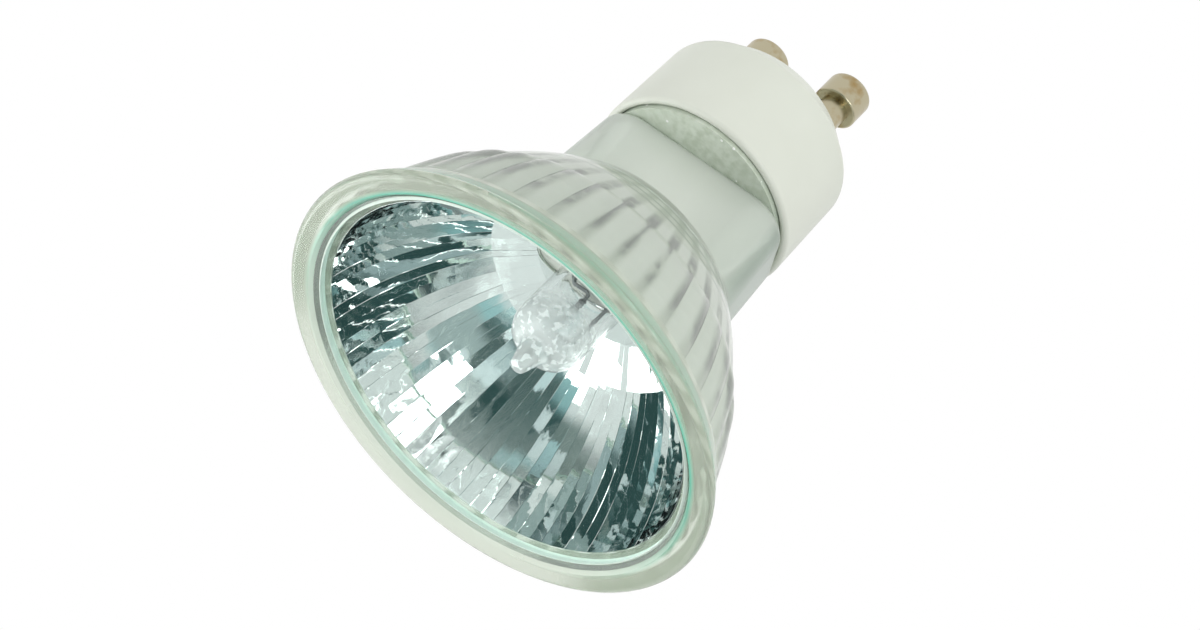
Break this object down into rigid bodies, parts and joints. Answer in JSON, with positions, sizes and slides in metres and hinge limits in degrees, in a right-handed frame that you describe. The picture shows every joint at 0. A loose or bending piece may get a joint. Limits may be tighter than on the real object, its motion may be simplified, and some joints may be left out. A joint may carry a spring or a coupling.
{
  "type": "halogen reflector spotlight bulb",
  "caption": "Pressed-glass halogen reflector bulb with a fluted bowl, faceted mirror, cover glass, quartz capsule and a ceramic base with two twist-lock contact pins.",
  "frame": {"origin": "centre of the ceramic base's flat rear face, between the two contact pins", "axes": "+Z along the beam, out of the cover glass; X through the two contact pins, which stand to -Z"},
  "size_m": [0.0507, 0.0506, 0.0562],
  "materials": {
    "pressed_glass": "pressed glass, aluminised inside",
    "clear_glass": "polished float glass",
    "clear_adhesive": "clear silicone adhesive",
    "quartz_glass": "drawn quartz",
    "tungsten": "drawn wire",
    "molybdenum": "rolled foil and drawn wire",
    "cement": "set ceramic cement",
    "ceramic": "unglazed fine-grained ceramic",
    "nickel_plated_brass": "turned, nickel plated"
  },
  "bodies": {
    "root": {"reflector": "pressed_glass", "cover_glass": "clear_glass", "cover_seal": "clear_adhesive", "capsule": "quartz_glass", "filament": "tungsten", "inner_lead_long": "tungsten", "inner_lead_short": "tungsten", "foil_left": "molybdenum", "foil_right": "molybdenum", "outer_lead_left": "molybdenum", "outer_lead_right": "molybdenum", "neck_cement": "cement", "base_cement": "cement", "ceramic_base": "ceramic", "contact_pin_left": "nickel_plated_brass", "contact_pin_right": "nickel_plated_brass"}
  },
  "joints": []
}
